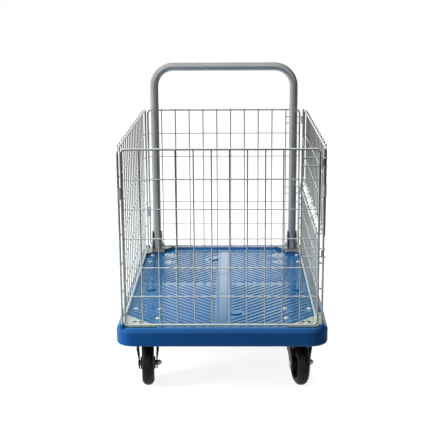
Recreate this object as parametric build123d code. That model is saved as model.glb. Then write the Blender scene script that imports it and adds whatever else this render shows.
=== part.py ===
from build123d import *
import math
import os

os.makedirs("parts", exist_ok=True)

# Sizes are in millimetres. The origin is on the floor under the middle of the deck.
# +X is the right hand side, +Y runs toward the push handle and +Z is up.

# Casters
wheel_radius = 65.0
wheel_width = 36.0
tread_drop = 14.0
rim_radius = 48.0
rim_wall = 4.0
rim_width = 30.0
web_thickness = 9.0
hub_radius = 18.0
hub_length = 44.0
pocket_radius = 8.5
pocket_count = 5
axle_radius = 5.0
axle_head_radius = 9.0
axle_head = 3.0
axle_nut_radius = 8.75
axle_nut = 8.0
axle_tip = 4.0
sleeve_radius = 7.5
running_gap = 0.06
caster_height = 166.0
caster_side_inset = 78.0
caster_end_inset = 154.0
caster_trail = 30.0
left_caster_angle = 5.0
right_caster_angle = 10.0
fork_sheet = 4.0
fork_flange = 7.0
fork_axle_half = 28.0
fork_half = 33.0
fork_crown_half = 27.0
rigid_crown_half = 31.0
fork_taper_rise = 48.0
fork_shoulder_drop = 20.0
fork_shoulder_round = 7.0
fork_front_drop = 22.0
fork_back_drop = 30.0
fork_back_reach = 13.0
fork_eye_radius = 17.0
eye_join = 2.0
plate_sheet = 4.0
plate_width = 98.0
plate_length = 112.0
plate_corner = 8.0
bolt_spacing_x = 72.0
bolt_spacing_y = 86.0
ball_radius = 2.95
ball_gap = 0.05
ball_circle = 24.0
ball_count = 16
crown_radius = 31.0
race_ring_gap = 1.2
race_ring_wall = 3.0
race_ring_depth = 5.0
kingpin_radius = 6.0
kingpin_head_radius = 11.0
kingpin_head = 5.0
kingpin_chamfer = 1.5
kingpin_gap = 0.3

# Deck
deck_width = 600.0
deck_length = 900.0
deck_depth = 52.0
deck_drop = 5.0
deck_corner = 50.0
deck_top_round = 14.0
deck_bottom_round = 6.0
deck_wall = 9.0
deck_skin = 6.0
tray_depth = 6.0
tray_side_margin = 23.0
tray_end_margin = 26.0
tray_draft = 30.0
pad_leg = 91.0
bracket_pad_margin = 1.0
rib_thickness = 4.0
rib_gap = 2.0
ribs_across = 7
ribs_along = 9
pad_wall = 6.0
column_radius = 11.0
button_radius = 17.0
button_height = 3.5
side_button_inset = 47.0
side_button_y = -60.0
rear_button_x = -38.0
rear_button_inset = 134.0
front_button_x = 40.0
front_button_inset = 131.0
post_side_inset = 20.0
post_end_inset = 23.0
socket_radius = 8.0
socket_height = 8.0
socket_chamfer = 1.5
join = 1.0

# Corner plates, whose slots and bolts stand in from the deck's side and from its end
corner_sheet = 2.5
corner_side_margin = 15.0
corner_end_margin = 18.0
corner_round = 5.0
corner_gap = 0.6
corner_overhang = 4.0
front_slot_length = 13.0
front_slot_width = 11.0
front_slot_insets = [(53.0, 58.5), (69.0, 58.5), (47.0, 39.5), (75.0, 39.5)]
rear_slot_length = 11.0
rear_slot_width = 8.0
rear_slot_insets = [(70.0, 29.0)]
front_bolt_insets = [(61.0, 46.0)]

# Bolts
bolt_radius = 4.0
head_radius = 7.5
head_height = 4.2
nut_radius = 7.5
nut_height = 6.5
nut_gap = 3.0
tip = 2.0

# Push handle
tube_radius = 14.0
tube_wall = 1.5
handle_setback = 84.0
handle_height = 887.0
handle_bend = 67.0
leg_below_pivot = 14.0
plug_length = 7.0
plug_flange = 1.5
plug_inset = 0.5

# Handle brackets
bracket_sheet = 3.0
bracket_gap = 0.5
bracket_front = 17.0
bracket_back = 18.0
bracket_rise = 77.0
bracket_lean = 4.0
bracket_flange = 23.0
bracket_flange_depth = 28.0
bracket_flange_round = 6.0
bracket_side_gap = 1.5
bracket_top_round = 12.0
pivot_rise = 25.5
pivot_radius = 5.0
pivot_head_radius = 9.0
pivot_head = 4.5
stop_gap = 0.6
stop_low = 22.0
stop_high = 42.0
bracket_bolt_x = 15.0
bracket_bolt_y = 34.0

# Snap buttons that lock the handle upright
lock_rise = 30.0
lock_radius = 4.0
lock_gap = 0.15
lock_fit = 0.1
lock_round = 1.5
lock_strip = 0.8
lock_strip_width = 8.0
lock_reach = 1.6
lock_strip_length = 26.0

# Wire panels
frame_wire = 3.0
upright_wire = 1.8
rail_wire = 1.5
weld_sink = 0.05
panel_gap = 0.5
panel_top = 717.0
panel_bend = 13.0
row_count = 6
gate_latch_gap = 9.0
gate_hinge_gap = 13.0
gate_columns = 11
side_columns = 17
upright_tip = 5.0
lower_inset = 11.5
flap_offset = 3.0
side_gap = 11.0
flap_rise = 2.5
flap_spacing = 13.0
foot_depth = 18.0

# Hinges, ties and clips of the wire panels
hook_wire = 1.8
hinge_gap = 0.1
hook_spread = 23.0
hook_drops = [24.0, 278.0]
hook_bend = 5.0
ring_slots = [1, 5, 8, 11, 15]
tie_wire = 2.5
tie_count = 3
tie_low_gap = 31.0
tie_high_gap = 59.5
clip_sheet = 1.2
clip_gap = 0.1
clip_mouth = 4.6
clip_height = 32.0
gate_clip_drop = 138.0
back_clip_rise = 112.0
flap_clip_drop = 129.0

# Heights and places that follow from the sizes above
deck_bottom = caster_height - deck_drop
deck_top = deck_bottom + deck_depth
tray_floor = deck_top - tray_depth
skin_under = tray_floor - deck_skin
tray_half_x = deck_width / 2 - tray_side_margin
tray_half_y = deck_length / 2 - tray_end_margin
caster_x = deck_width / 2 - caster_side_inset
caster_y = deck_length / 2 - caster_end_inset
side_x = deck_width / 2 - post_side_inset
end_y = deck_length / 2 - post_end_inset
corner_side = deck_width / 2 - corner_side_margin
corner_end = deck_length / 2 - corner_end_margin
corner_top = deck_top + corner_sheet
socket_reach = (socket_radius + corner_gap) * math.sqrt(2)
corner_cut = corner_side + corner_end - (side_x + end_y - socket_reach)
bracket_floor = corner_top + bracket_sheet
pivot_z = corner_top + pivot_rise
lock_z = pivot_z + lock_rise
panel_bottom = corner_top + panel_gap + frame_wire
row_pitch = (panel_top - panel_bottom) / row_count
split = panel_bottom + row_pitch * row_count / 2
flap_bottom = split + flap_rise
lower_top = flap_bottom - flap_spacing
lower_x = side_x - lower_inset
handle_half = lower_x - frame_wire - bracket_side_gap - bracket_flange
handle_y = deck_length / 2 - handle_setback
flap_x = side_x + flap_offset
side_end = end_y - side_gap
weld_offset = frame_wire + upright_wire - weld_sink
rail_offset = weld_offset - upright_wire - rail_wire + weld_sink
post_foot = deck_top + socket_height - foot_depth
plate_low = caster_height - plate_sheet
crown_top = plate_low - 2 * (ball_radius + ball_gap)
rigid_half = bolt_spacing_y / 2 - nut_radius - nut_gap
gate_left = gate_latch_gap - side_x
gate_right = side_x - gate_hinge_gap
gate_pitch = (gate_right - gate_left) / gate_columns
side_pitch = 2 * side_end / side_columns
left_pitch = 2 * end_y / side_columns


def save(name, shapes):
    """Write one node, which holds one solid or a group of separate solids."""
    solids = []
    for shape in shapes:
        solids.extend(shape.solids())
    export_step(Compound(solids) if len(solids) > 1 else solids[0], f"parts/{name}.step")


def rod(start, end, radius):
    """A straight round rod between two points."""
    run = Vector(*end) - Vector(*start)
    return extrude(Plane(origin=start, z_dir=run) * Circle(radius), amount=run.length)


def bent_wire(path, radius):
    """A round wire along a path."""
    return sweep(Plane(origin=path @ 0, z_dir=path % 0) * Circle(radius), path=path)


def block(x_range, y_range, z_range):
    """A box between limits on each axis."""
    sizes = [high - low for low, high in (x_range, y_range, z_range)]
    middle = [(low + high) / 2 for low, high in (x_range, y_range, z_range)]
    return Pos(*middle) * Box(*sizes)


def disc(x, y, low, high, radius):
    """An upright round column between two heights."""
    return Pos(x, y, low) * extrude(Circle(radius), amount=high - low)


def dome_head(radius, height):
    """A low bolt head on z = 0, with a straight edge under a ball shaped cap."""
    edge = height * 0.3
    rise = height - edge
    ball = (radius ** 2 + rise ** 2) / (2 * rise)
    half_turn = math.asin(radius / ball) / 2
    middle = (ball * math.sin(half_turn), height - ball * (1 - math.cos(half_turn)))
    profile = make_face(
        [
            Line((0, 0), (radius, 0)),
            Line((radius, 0), (radius, edge)),
            ThreePointArc((radius, edge), middle, (0, height)),
            Line((0, height), (0, 0)),
        ]
    )
    return revolve(Plane.XZ * profile, axis=Axis.Z)


def dome_bolt(x, y, seat, length):
    """A round head bolt that goes down from its seat."""
    head = dome_head(head_radius, head_height)
    shank = extrude(Circle(bolt_radius), amount=-length)
    return Pos(x, y, seat) * (head + shank)


def hex_nut(radius, height, bore):
    """A six sided nut on z = 0 with its corners turned off."""
    body = extrude(RegularPolygon(radius, 6), amount=height)
    turned = extrude(Circle(radius), amount=height)
    turned = chamfer(turned.edges(), length=radius * 0.12)
    return (body & turned) - extrude(Circle(bore), amount=height)


# Deck

def bracket_foot(margin):
    """The two rectangles under the handle brackets, each larger by a margin."""
    low = handle_y - bracket_front - margin
    high = handle_y + bracket_back + bracket_flange_depth
    foot = Rectangle(2 * (bracket_flange + margin), high - low)
    return [Pos(sx * handle_half, (low + high) / 2) * foot for sx in (-1, 1)]


def tray_outline():
    """The tray's floor, which leaves the corners and the brackets' feet at rim height."""
    x, y = tray_half_x, tray_half_y
    points = []
    for sx, sy in ((1, 1), (-1, 1), (-1, -1), (1, -1)):
        side_point = (sx * x, sy * (y - pad_leg))
        end_point = (sx * (x - pad_leg), sy * y)
        points += [side_point, end_point] if sx * sy > 0 else [end_point, side_point]
    face = make_face(Polyline(*points, close=True))
    for foot in bracket_foot(bracket_pad_margin):
        face -= foot
    return face


def caster_places():
    """The middle of each caster's plate."""
    return [(sx * caster_x, sy * caster_y) for sy in (-1, 1) for sx in (-1, 1)]


def caster_bolt_places():
    """The four bolts at each caster's plate."""
    places = []
    for x, y in caster_places():
        for sx in (-1, 1):
            for sy in (-1, 1):
                places.append((x + sx * bolt_spacing_x / 2, y + sy * bolt_spacing_y / 2))
    return places


def bracket_bolt_places():
    """The two bolts at the foot of each handle bracket."""
    return [
        (sx * handle_half + side * bracket_bolt_x, handle_y + bracket_bolt_y)
        for sx in (-1, 1)
        for side in (-1, 1)
    ]


def corner_bolt_places():
    """The bolts of the front corner plates. The brackets' bolts hold the rear plates."""
    return [
        (sx * (deck_width / 2 - x), y - deck_length / 2)
        for sx in (-1, 1)
        for x, y in front_bolt_insets
    ]


def button_places():
    """The middle of each raised button on the tray's floor."""
    side_button = tray_half_x - side_button_inset
    return [
        (rear_button_x, tray_half_y - rear_button_inset),
        (front_button_x, front_button_inset - tray_half_y),
        (-side_button, side_button_y),
        (side_button, side_button_y),
    ]


def post_places():
    """The four corners where the cage's posts stand."""
    return [(sx * side_x, sy * end_y) for sx in (-1, 1) for sy in (-1, 1)]


def deck():
    """The moulded platform, without the bushes at its corners."""
    body = extrude(RectangleRounded(deck_width, deck_length, deck_corner), amount=deck_depth)
    body = fillet(body.edges().group_by(Axis.Z)[-1], radius=deck_top_round)
    body = fillet(body.edges().group_by(Axis.Z)[0], radius=deck_bottom_round)
    body = Pos(0, 0, deck_bottom) * body
    inner_x = deck_width / 2 - deck_wall
    inner_y = deck_length / 2 - deck_wall
    hollow = RectangleRounded(2 * inner_x, 2 * inner_y, deck_corner - deck_wall)
    body -= Pos(0, 0, deck_bottom) * extrude(hollow, amount=skin_under - deck_bottom)
    tray = extrude(tray_outline(), amount=tray_depth, taper=-tray_draft)
    body -= Pos(0, 0, tray_floor) * tray
    added = []
    rib_low = caster_height + kingpin_head + rib_gap
    for i in range(ribs_across):
        x = (i - (ribs_across - 1) / 2) * 2 * inner_x / (ribs_across + 0.8)
        edge = (x - rib_thickness / 2, x + rib_thickness / 2)
        added.append(block(edge, (-inner_y - join, inner_y + join), (rib_low, skin_under + join)))
    for i in range(ribs_along):
        y = (i - (ribs_along - 1) / 2) * 2 * inner_y / (ribs_along + 0.8)
        edge = (y - rib_thickness / 2, y + rib_thickness / 2)
        added.append(block((-inner_x - join, inner_x + join), edge, (rib_low, skin_under + join)))
    for x, y in caster_places():
        pad = Rectangle(plate_width, plate_length)
        pad -= Rectangle(plate_width - 2 * pad_wall, plate_length - 2 * pad_wall)
        added.append(Pos(x, y, caster_height) * extrude(pad, amount=skin_under + join - caster_height))
    for x, y in caster_bolt_places():
        added.append(disc(x, y, caster_height, skin_under + join, column_radius))
    for x, y in button_places():
        button = disc(x, y, tray_floor - join, tray_floor + button_height, button_radius)
        added.append(chamfer(button.edges().group_by(Axis.Z)[-1], length=button_height * 0.4))
    body = body + added
    holes = [disc(x, y, deck_bottom, deck_top, bolt_radius) for x, y in caster_bolt_places()]
    low = deck_top - tray_depth - deck_skin * 0.6
    for x, y in bracket_bolt_places() + corner_bolt_places():
        holes.append(disc(x, y, low, deck_top, bolt_radius))
    holes += [disc(x, y, skin_under, deck_top, socket_radius) for x, y in post_places()]
    return body - holes


def post_socket(x, y):
    """A plastic bush in the deck's corner, with a blind bore for the foot of a cage post."""
    top = deck_top + socket_height
    bush = disc(x, y, skin_under, top, socket_radius)
    bush = chamfer(bush.edges().group_by(Axis.Z)[-1], length=socket_chamfer)
    return bush - disc(x, y, post_foot, top, frame_wire)


def corner_plate(end):
    """The right hand corner plate at the front (-1) or the rear (1)."""
    wall_run = tray_depth * math.tan(math.radians(tray_draft))
    edge = tray_half_x + tray_half_y - pad_leg + (wall_run - corner_overhang) * math.sqrt(2)
    points = [
        (corner_side, end * (edge - corner_side)),
        (corner_side, end * (corner_end - corner_cut)),
        (corner_side - corner_cut, end * corner_end),
        (edge - corner_end, end * corner_end),
    ]
    face = make_face(Polyline(*points, close=True))
    face = fillet(face.vertices(), radius=corner_round)
    slot, insets = SlotOverall(front_slot_length, front_slot_width), front_slot_insets
    if end > 0:
        face += bracket_foot(0)[1]
        slot, insets = SlotOverall(rear_slot_length, rear_slot_width), rear_slot_insets
    for x, y in insets:
        face -= Pos(deck_width / 2 - x, end * (deck_length / 2 - y)) * slot
    plate = Pos(0, 0, deck_top) * extrude(face, amount=corner_sheet, dir=(0, 0, 1))
    places = corner_bolt_places() if end < 0 else bracket_bolt_places()
    return plate - [disc(x, y, deck_top, corner_top, bolt_radius) for x, y in places]


save("deck", [deck()])
save("post_sockets", [post_socket(x, y) for x, y in post_places()])
for end, word in ((-1, "front"), (1, "rear")):
    plate = corner_plate(end)
    save(f"corner_plates_{word}", [plate, mirror(plate, about=Plane.YZ)])
corner_bolt_length = corner_sheet + tray_depth
save("corner_plate_bolts", [dome_bolt(x, y, corner_top, corner_bolt_length) for x, y in corner_bolt_places()])
caster_bolt_length = tray_floor - plate_low + nut_height + tip
save("caster_bolts", [dome_bolt(x, y, tray_floor, caster_bolt_length) for x, y in caster_bolt_places()])
nut = hex_nut(nut_radius, nut_height, bolt_radius)
nuts = [Pos(x, y, plate_low - nut_height) * nut for x, y in caster_bolt_places()]
save("caster_nuts", nuts)


# Push handle and its brackets

def handle_tube():
    top = handle_height - tube_radius
    foot = pivot_z - leg_below_pivot
    path = FilletPolyline(
        (-handle_half, handle_y, foot),
        (-handle_half, handle_y, top),
        (handle_half, handle_y, top),
        (handle_half, handle_y, foot),
        radius=handle_bend,
    )
    tube = bent_wire(path, tube_radius) - bent_wire(path, tube_radius - tube_wall)
    for sx in (-1, 1):
        x = sx * handle_half
        half = tube_radius + join
        tube -= rod((x - half, handle_y, pivot_z), (x + half, handle_y, pivot_z), pivot_radius + running_gap)
        inner = (x - sx * half, handle_y, lock_z)
        tube -= rod((x, handle_y, lock_z), inner, lock_radius + lock_gap)
    return tube


def end_plug(sx):
    """A plastic plug in the foot of one leg."""
    foot = pivot_z - leg_below_pivot
    x = sx * handle_half
    plug = disc(x, handle_y, foot, foot + plug_length, tube_radius - tube_wall)
    flange = disc(x, handle_y, foot - plug_flange, foot, tube_radius - plug_inset)
    return plug + flange


def bracket(sx):
    """The steel bracket that holds one leg between two ears."""
    x = sx * handle_half
    inner = tube_radius + bracket_gap
    outer = inner + bracket_sheet
    front = handle_y - bracket_front
    back = handle_y + bracket_back
    rear = back + bracket_flange_depth
    base = block((x - outer, x + outer), (front, back), (corner_top, bracket_floor))
    flange = block((x - bracket_flange, x + bracket_flange), (back, rear), (corner_top, bracket_floor))
    flange = fillet(flange.edges().filter_by(Axis.Z).group_by(Axis.Y)[-1], radius=bracket_flange_round)
    ear_face = Plane.YZ * make_face(
        Polyline(
            (front, bracket_floor),
            (back, bracket_floor),
            (back, deck_top + bracket_rise),
            (front + bracket_lean, deck_top + bracket_rise),
            close=True,
        )
    )
    ear_face = fillet(ear_face.vertices().group_by(Axis.Z)[-1], radius=bracket_top_round)
    ears = [Pos(x + side, 0, 0) * extrude(ear_face, amount=bracket_sheet, dir=(1, 0, 0))
            for side in (inner, -outer)]
    stop_front = handle_y + tube_radius + stop_gap
    stop = block((x - outer, x + outer), (stop_front, back), (pivot_z + stop_low, pivot_z + stop_high))
    body = base + flange + ears + stop
    reach = outer + join
    body -= rod((x - reach, handle_y, pivot_z), (x + reach, handle_y, pivot_z), pivot_radius)
    body -= rod((x, handle_y, lock_z), (x - sx * reach, handle_y, lock_z), lock_radius + lock_gap)
    for side in (-1, 1):
        hole_x = x + side * bracket_bolt_x
        body -= disc(hole_x, handle_y + bracket_bolt_y, corner_top, bracket_floor, bolt_radius)
    return body


def pivot_bolt(sx):
    """The pivot bolt with its low head outside and its nut inside."""
    x = sx * handle_half
    outer = tube_radius + bracket_gap + bracket_sheet
    shank = rod(
        (x + sx * outer, handle_y, pivot_z),
        (x - sx * (outer + nut_height + tip), handle_y, pivot_z),
        pivot_radius,
    )
    turn = Rot(0, 90 * sx, 0)
    head = Pos(x + sx * outer, handle_y, pivot_z) * turn * dome_head(pivot_head_radius, pivot_head)
    nut = hex_nut(pivot_head_radius, nut_height, pivot_radius)
    nut = Pos(x - sx * outer, handle_y, pivot_z) * Rot(0, -90 * sx, 0) * nut
    return [shank + head, nut]


def lock_button(sx):
    """A folded spring strip inside the leg with the button that shows through the inner ear."""
    x = sx * handle_half
    bore = tube_radius - tube_wall
    outside = math.sqrt(bore ** 2 - (lock_strip_width / 2) ** 2) - lock_fit
    inside = outside - lock_strip
    band = Pos(0, lock_strip_length / 2) * Rectangle(2 * outside, lock_strip_length)
    band += Pos(0, lock_strip_length) * Circle(outside)
    band -= Pos(0, lock_strip_length / 2) * Rectangle(2 * inside, lock_strip_length)
    band -= Pos(0, lock_strip_length) * Circle(inside)
    strip = extrude(Plane.XZ * band, amount=lock_strip_width / 2, both=True)
    strip = Pos(x, handle_y, lock_z - lock_strip_length / 4) * strip
    reach = tube_radius + bracket_gap + bracket_sheet + lock_reach
    button = rod(
        (x - sx * inside, handle_y, lock_z),
        (x - sx * reach, handle_y, lock_z),
        lock_radius,
    )
    button = fillet(button.edges().sort_by(Axis.X)[-1 if sx < 0 else 0], radius=lock_round)
    return strip + button


save("handle_tube", [handle_tube()])
save("handle_end_plugs", [end_plug(sx) for sx in (-1, 1)])
for sx, word in ((-1, "left"), (1, "right")):
    save(f"handle_bracket_{word}", [bracket(sx)])
save("handle_pivot_bolts", pivot_bolt(-1) + pivot_bolt(1))
save("handle_lock_buttons", [lock_button(sx) for sx in (-1, 1)])
bracket_bolt_length = bracket_sheet + corner_sheet + tray_depth
bracket_places = bracket_bolt_places()
save("bracket_bolts", [dome_bolt(x, y, bracket_floor, bracket_bolt_length) for x, y in bracket_places])


# Wire panels

def row_heights(first, last):
    """Heights of the rails from one row to another."""
    return [panel_bottom + row_pitch * i for i in range(first, last + 1)]


def end_panel(side):
    """The frame, uprights and rails of the gate (-1) or the back panel (1)."""
    y = side * end_y
    middle = ((gate_left + gate_right) / 2, y, (panel_bottom + panel_top) / 2)
    plane = Plane(origin=middle, x_dir=(1, 0, 0), z_dir=(0, -1, 0))
    outline = RectangleRounded(gate_right - gate_left, panel_top - panel_bottom, panel_bend)
    frame = bent_wire((plane * outline).wire(), frame_wire)
    low = panel_bottom - frame_wire + panel_gap
    high = panel_top + frame_wire - panel_gap
    upright_y = side * (end_y - weld_offset)
    uprights = []
    for i in range(1, gate_columns):
        x = gate_left + gate_pitch * i
        uprights.append(rod((x, upright_y, low), (x, upright_y, high), upright_wire))
    rail_y = side * (end_y - rail_offset)
    reach = frame_wire - weld_sink
    rails = []
    for z in row_heights(1, row_count - 1):
        ends = (gate_left + reach, rail_y, z), (gate_right - reach, rail_y, z)
        rails.append(rod(*ends, rail_wire))
    return frame, uprights, rails


def hinge_hook(side, high):
    """A hairpin of wire that hooks round the corner post, with its closed end outside."""
    low = high - hook_spread
    post_y = side * end_y
    radius = frame_wire + hinge_gap + hook_wire
    inner = side * (end_y - radius)
    outer = side * (end_y + radius)
    start = gate_left + gate_pitch * (gate_columns - 1) + upright_wire - weld_sink
    across = hook_bend * math.sin(math.pi / 4)
    down = hook_bend * (1 - math.cos(math.pi / 4))
    turn_x = side_x - hook_bend
    edges = [
        Line((start, inner, high), (side_x, inner, high)),
        ThreePointArc((side_x, inner, high), (side_x + radius, post_y, high), (side_x, outer, high)),
        ThreePointArc(
            (side_x, outer, high),
            (side_x - across, outer, high - down),
            (turn_x, outer, high - hook_bend),
        ),
        Line((turn_x, outer, high - hook_bend), (turn_x, outer, low + hook_bend)),
        ThreePointArc(
            (turn_x, outer, low + hook_bend),
            (side_x - across, outer, low + down),
            (side_x, outer, low),
        ),
        ThreePointArc((side_x, outer, low), (side_x + radius, post_y, low), (side_x, inner, low)),
        Line((side_x, inner, low), (start, inner, low)),
    ]
    return bent_wire(Wire(edges), hook_wire)


def side_grid(x, outward, half_length, low, high, rows, pitch):
    """The uprights on the outer face of a side panel and the rails behind them."""
    upright_x = x + outward * weld_offset
    rail_x = x + outward * rail_offset
    bottom = low - frame_wire + panel_gap
    uprights = []
    for i in range(1, side_columns):
        y = -half_length + pitch * i
        uprights.append(rod((upright_x, y, bottom), (upright_x, y, high + upright_tip), upright_wire))
    reach = half_length - frame_wire + weld_sink
    rails = [rod((rail_x, -reach, z), (rail_x, reach, z), rail_wire) for z in rows]
    return uprights, rails


def side_frame(x, low, high):
    """A closed rounded frame of a right hand panel."""
    plane = Plane(origin=(x, 0, (low + high) / 2), x_dir=(0, 1, 0), z_dir=(1, 0, 0))
    return bent_wire((plane * RectangleRounded(2 * side_end, high - low, panel_bend)).wire(), frame_wire)


def left_frame():
    """A bent wire with both feet in the deck and a straight bottom wire between its posts."""
    path = FilletPolyline(
        (-side_x, -end_y, post_foot),
        (-side_x, -end_y, panel_top),
        (-side_x, end_y, panel_top),
        (-side_x, end_y, post_foot),
        radius=panel_bend,
    )
    posts = [rod((-side_x, s * end_y, post_foot), (-side_x, s * end_y, panel_top / 2), frame_wire)
             for s in (-1, 1)]
    bottom = rod((-side_x, -end_y, panel_bottom), (-side_x, end_y, panel_bottom), frame_wire)
    sockets = [disc(-side_x, s * end_y, deck_top, deck_top + socket_height, socket_radius)
               for s in (-1, 1)]
    return [bent_wire(path, frame_wire), bottom - posts - sockets]


def right_post(side):
    """A corner post that stands in its socket, with a rounded top."""
    top = panel_top + frame_wire
    post = rod((side_x, side * end_y, post_foot), (side_x, side * end_y, top), frame_wire)
    return fillet(post.edges().group_by(Axis.Z)[-1], radius=frame_wire * 0.9)


def post_tie(side, z):
    """A short wire, fitted to both round wires, that ties the lower panel to a corner post."""
    post = (side_x, side * end_y, z)
    wire = (lower_x, side * side_end, z)
    tie = rod(post, wire, tie_wire)
    for x, y, _ in (post, wire):
        tie -= disc(x, y, z - 2 * tie_wire, z + 2 * tie_wire, frame_wire)
    return tie


def flap_ring(index):
    """A long ring of wire round the flap's bottom wire and the lower panel's top wire."""
    y = -side_end + side_pitch * (index + 0.5)
    run = Vector(flap_x - lower_x, 0, flap_bottom - lower_top)
    middle = ((flap_x + lower_x) / 2, y, (flap_bottom + lower_top) / 2)
    plane = Plane(origin=middle, x_dir=run, z_dir=(0, 1, 0))
    radius = frame_wire + hinge_gap + hook_wire
    return bent_wire((plane * SlotCenterToCenter(run.length, 2 * radius)).wire(), hook_wire)


def snap_clip(anchor, wire, mouth, low):
    """A sheet clip held on one wire, whose mouth snaps over another wire."""
    run = Vector(wire[0] - anchor[0], wire[1] - anchor[1])
    middle = ((anchor[0] + wire[0]) / 2, (anchor[1] + wire[1]) / 2)
    turn = math.degrees(math.atan2(run.Y, run.X))
    bore = frame_wire + clip_gap
    face = SlotCenterToCenter(run.length, 2 * (bore + clip_sheet))
    face -= SlotCenterToCenter(run.length, 2 * bore)
    face = Pos(*middle) * Rot(0, 0, turn) * face
    opening = Pos(bore, 0) * Rectangle(2 * bore, clip_mouth)
    face -= Pos(*wire) * Rot(0, 0, mouth) * opening
    return Pos(0, 0, low) * extrude(face, amount=clip_height, dir=(0, 0, 1))


for side, word in ((-1, "gate"), (1, "back")):
    frame, uprights, rails = end_panel(side)
    save(f"{word}_frame", [frame])
    save(f"{word}_uprights", uprights)
    save(f"{word}_rails", rails)
    save(f"{word}_hinge_hooks", [hinge_hook(side, panel_top - drop) for drop in hook_drops])

left_uprights, left_rails = side_grid(
    -side_x, -1, end_y, panel_bottom, panel_top, row_heights(1, row_count - 1), left_pitch
)
save("left_frame", left_frame())
save("left_uprights", left_uprights)
save("left_rails", left_rails)

lower_rows = row_heights(1, row_count // 2 - 1)
lower_uprights, lower_rails = side_grid(
    lower_x, 1, side_end, panel_bottom, lower_top, lower_rows, side_pitch
)
save("lower_frame", [side_frame(lower_x, panel_bottom, lower_top)])
save("lower_uprights", lower_uprights)
save("lower_rails", lower_rails)

flap_rows = row_heights(row_count // 2 + 1, row_count - 1)
flap_uprights, flap_rails = side_grid(
    flap_x, 1, side_end, flap_bottom, panel_top, flap_rows, side_pitch
)
save("flap_frame", [side_frame(flap_x, flap_bottom, panel_top)])
save("flap_uprights", flap_uprights)
save("flap_rails", flap_rails)

save("right_posts", [right_post(side) for side in (-1, 1)])
tie_low = panel_bottom + tie_low_gap
tie_step = (lower_top - tie_high_gap - tie_low) / (tie_count - 1)
tie_heights = [tie_low + tie_step * i for i in range(tie_count)]
save("right_post_ties", [post_tie(side, z) for side in (-1, 1) for z in tie_heights])
save("flap_hinge_rings", [flap_ring(index) for index in ring_slots])
gate_clip_low = panel_top - gate_clip_drop
back_clip_low = panel_bottom + back_clip_rise
flap_clip_low = panel_top - flap_clip_drop
save("gate_clip", [snap_clip((-side_x, -end_y), (gate_left, -end_y), -90, gate_clip_low)])
save("back_clip", [snap_clip((-side_x, end_y), (gate_left, end_y), 90, back_clip_low)])
flap_clips = [snap_clip((side_x, s * end_y), (flap_x, s * side_end), 0, flap_clip_low) for s in (-1, 1)]
save("flap_clips", flap_clips)


# Casters, each drawn round its own upright axis with the wheel trailing toward -Y

def mirrored(half):
    """A closed face from the right hand points of an outline that is the same on both sides."""
    return make_face(Polyline(*half, *[(-x, z) for x, z in reversed(half)], close=True))


def fork_side(top, trail, half_depth):
    """The fork's outline seen from the side, narrowing to a round eye at the axle."""
    eye = fork_eye_radius
    back_reach = fork_back_reach if trail > 0 else 0
    points = [
        (-half_depth, top + join),
        (half_depth, top + join),
        (half_depth, top - fork_front_drop),
        (-trail + eye, wheel_radius + eye_join),
        (-trail - eye, wheel_radius + eye_join),
        (-half_depth - back_reach, top - fork_back_drop),
    ]
    return make_face(Polyline(*points, close=True)) + Pos(-trail, wheel_radius) * Circle(eye)


def fork_body(top, crown_half, trail, half_depth):
    """A pressed sheet fork, whose legs have flanges along their edges that fade toward the axle."""
    low = wheel_radius - fork_eye_radius - 2 * fork_sheet
    knee = wheel_radius + fork_eye_radius
    wide = wheel_radius + fork_taper_rise
    outside = mirrored(
        [
            (fork_axle_half, low),
            (fork_axle_half, knee),
            (fork_half, wide),
            (fork_half, top - fork_shoulder_drop),
            (crown_half, top),
        ]
    )
    outside = fillet(outside.vertices().group_by(Axis.Y)[-1], radius=fork_shoulder_round)
    between = mirrored(
        [
            (fork_axle_half - fork_sheet, low),
            (fork_axle_half - fork_sheet, knee),
            (fork_half - fork_flange, wide),
            (fork_half - fork_flange, top - fork_shoulder_drop),
            (crown_half - fork_flange, top - fork_sheet),
        ]
    )
    skin = offset(outside, amount=-fork_sheet, kind=Kind.INTERSECTION)
    side = fork_side(top, trail, half_depth)
    dish = offset(side, amount=-fork_sheet, kind=Kind.INTERSECTION)
    reach = 2 * wheel_radius
    legs = extrude(Plane.XZ * (outside - between), amount=reach, both=True)
    legs &= extrude(Plane.YZ * side, amount=reach, both=True)
    hollow = extrude(Plane.XZ * skin, amount=reach, both=True)
    hollow &= extrude(Plane.YZ * dish, amount=reach, both=True)
    return legs - hollow


def axle_hole(trail):
    reach = fork_half + fork_sheet
    return rod((-reach, -trail, wheel_radius), (reach, -trail, wheel_radius), axle_radius)


def swivel_fork():
    fork = fork_body(crown_top, fork_crown_half, caster_trail, crown_radius)
    fork -= disc(0, 0, crown_top - 2 * fork_sheet, crown_top + join, kingpin_radius + running_gap)
    return fork - axle_hole(caster_trail)


def rigid_fork():
    fork = fork_body(caster_height, rigid_crown_half, 0, rigid_half)
    plate = extrude(RectangleRounded(plate_width, plate_length, plate_corner), amount=plate_sheet)
    fork += Pos(0, 0, plate_low) * plate
    for sx in (-1, 1):
        for sy in (-1, 1):
            fork -= disc(sx * bolt_spacing_x / 2, sy * bolt_spacing_y / 2,
                         plate_low, caster_height, bolt_radius)
    return fork - axle_hole(0)


def swivel_plate():
    """The bolted plate with the ring that covers the balls."""
    plate = extrude(RectangleRounded(plate_width, plate_length, plate_corner), amount=plate_sheet)
    plate = Pos(0, 0, plate_low) * plate
    ring_inner = math.hypot(crown_radius, fork_crown_half) + race_ring_gap
    ring = Circle(ring_inner + race_ring_wall) - Circle(ring_inner)
    plate += Pos(0, 0, plate_low - race_ring_depth) * extrude(ring, amount=race_ring_depth)
    plate -= disc(0, 0, plate_low, caster_height, kingpin_radius)
    for sx in (-1, 1):
        for sy in (-1, 1):
            plate -= disc(sx * bolt_spacing_x / 2, sy * bolt_spacing_y / 2,
                          plate_low - nut_height, caster_height, bolt_radius)
    return plate


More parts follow.
